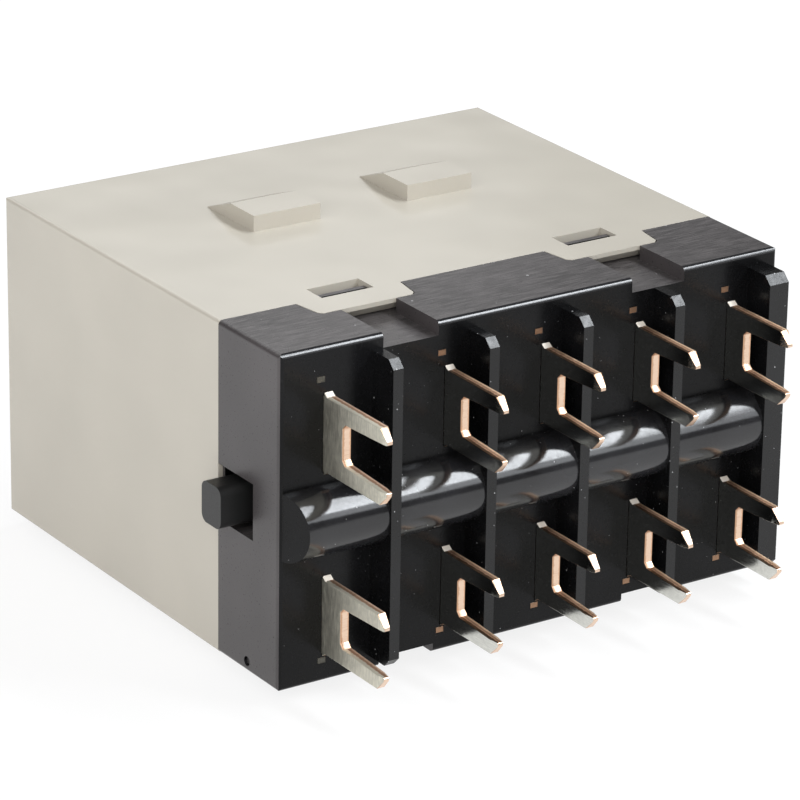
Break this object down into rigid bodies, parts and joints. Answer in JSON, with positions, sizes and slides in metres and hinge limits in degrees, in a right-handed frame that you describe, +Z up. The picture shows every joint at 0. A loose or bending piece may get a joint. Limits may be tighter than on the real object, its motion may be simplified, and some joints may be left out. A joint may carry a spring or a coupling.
{
  "type": "pcb relay",
  "caption": "Box-shaped power relay with a beige cover clipped over a black ribbed base, and copper fork terminals that solder into a circuit board to switch several circuits.",
  "frame": {"origin": "under the middle of the relay's outline, on the plane its lower lugs rest on", "axes": "+X along the terminal row, +Y from the terminal face to the back of the cover, +Z up, with the relay on its long side"},
  "size_m": [0.0536, 0.056, 0.0335],
  "materials": {
    "cover_plastic": "satin beige",
    "base_plastic": "glossy black",
    "tinned_terminal": "tin plated",
    "copper_terminal": "tinned copper sheet with bare copper edges",
    "silver_contact": "silver",
    "carrier_plastic": "satin black",
    "bridge_copper": "rolled copper",
    "spring_steel": "drawn wire",
    "magnet_iron": "zinc plated",
    "bobbin_plastic": "moulded",
    "winding_wire": "enamelled copper",
    "coil_tape": "polyester tape"
  },
  "bodies": {
    "housing": {"cover": "cover_plastic", "base": "base_plastic", "coil_terminal_upper": "tinned_terminal", "coil_terminal_lower": "tinned_terminal", "contact_terminal_upper_1": "copper_terminal", "contact_terminal_upper_2": "copper_terminal", "contact_terminal_upper_3": "copper_terminal", "contact_terminal_upper_4": "copper_terminal", "contact_terminal_lower_1": "copper_terminal", "contact_terminal_lower_2": "copper_terminal", "contact_terminal_lower_3": "copper_terminal", "contact_terminal_lower_4": "copper_terminal", "fixed_contacts": "silver_contact", "return_spring_left": "spring_steel", "return_spring_right": "spring_steel", "yoke": "magnet_iron", "core": "magnet_iron", "bobbin": "bobbin_plastic", "winding": "winding_wire", "coil_tape": "coil_tape", "coil_lead_upper": "winding_wire", "coil_lead_lower": "winding_wire"},
    "armature": {"armature": "magnet_iron"},
    "carrier": {"contact_carrier": "carrier_plastic", "contact_spring_1": "spring_steel", "contact_spring_2": "spring_steel", "contact_spring_3": "spring_steel", "contact_spring_4": "spring_steel"},
    "bridge_1": {"contact_bridge_1": "bridge_copper", "bridge_contacts_1": "silver_contact"},
    "bridge_2": {"contact_bridge_2": "bridge_copper", "bridge_contacts_2": "silver_contact"},
    "bridge_3": {"contact_bridge_3": "bridge_copper", "bridge_contacts_3": "silver_contact"},
    "bridge_4": {"contact_bridge_4": "bridge_copper", "bridge_contacts_4": "silver_contact"}
  },
  "joints": [
    {"name": "carrier_slide", "type": "slide", "parent": "housing", "child": "carrier", "axis": [0, -1, 0], "range_m": [0, 0.00159], "stiffness_N_per_m": 300, "springref_m": -0.003, "deforming": ["return_spring_left", "return_spring_right"]},
    {"name": "armature_pivot", "type": "hinge", "parent": "housing", "child": "armature", "pos_m": [-0.0167, -0.0046, 0.01655], "axis": [0, 0, -1], "range_deg": [0, 5.2]},
    {"name": "bridge_1_slide", "type": "slide", "parent": "carrier", "child": "bridge_1", "axis": [0, 1, 0], "range_m": [0, 0.00042], "deforming": ["contact_spring_1"]},
    {"name": "bridge_2_slide", "type": "slide", "parent": "carrier", "child": "bridge_2", "axis": [0, 1, 0], "range_m": [0, 0.00042], "deforming": ["contact_spring_2"]},
    {"name": "bridge_3_slide", "type": "slide", "parent": "carrier", "child": "bridge_3", "axis": [0, 1, 0], "range_m": [0, 0.00042], "deforming": ["contact_spring_3"]},
    {"name": "bridge_4_slide", "type": "slide", "parent": "carrier", "child": "bridge_4", "axis": [0, 1, 0], "range_m": [0, 0.00042], "deforming": ["contact_spring_4"]}
  ],
  "couplings": [
    {"joint": "armature_pivot", "follows": "carrier_slide", "rad_per_m": 56.98},
    {"joint": "bridge_1_slide", "follows": "carrier_slide", "ratio": 0.2604},
    {"joint": "bridge_2_slide", "follows": "carrier_slide", "ratio": 0.2604},
    {"joint": "bridge_3_slide", "follows": "carrier_slide", "ratio": 0.2604},
    {"joint": "bridge_4_slide", "follows": "carrier_slide", "ratio": 0.2604}
  ]
}
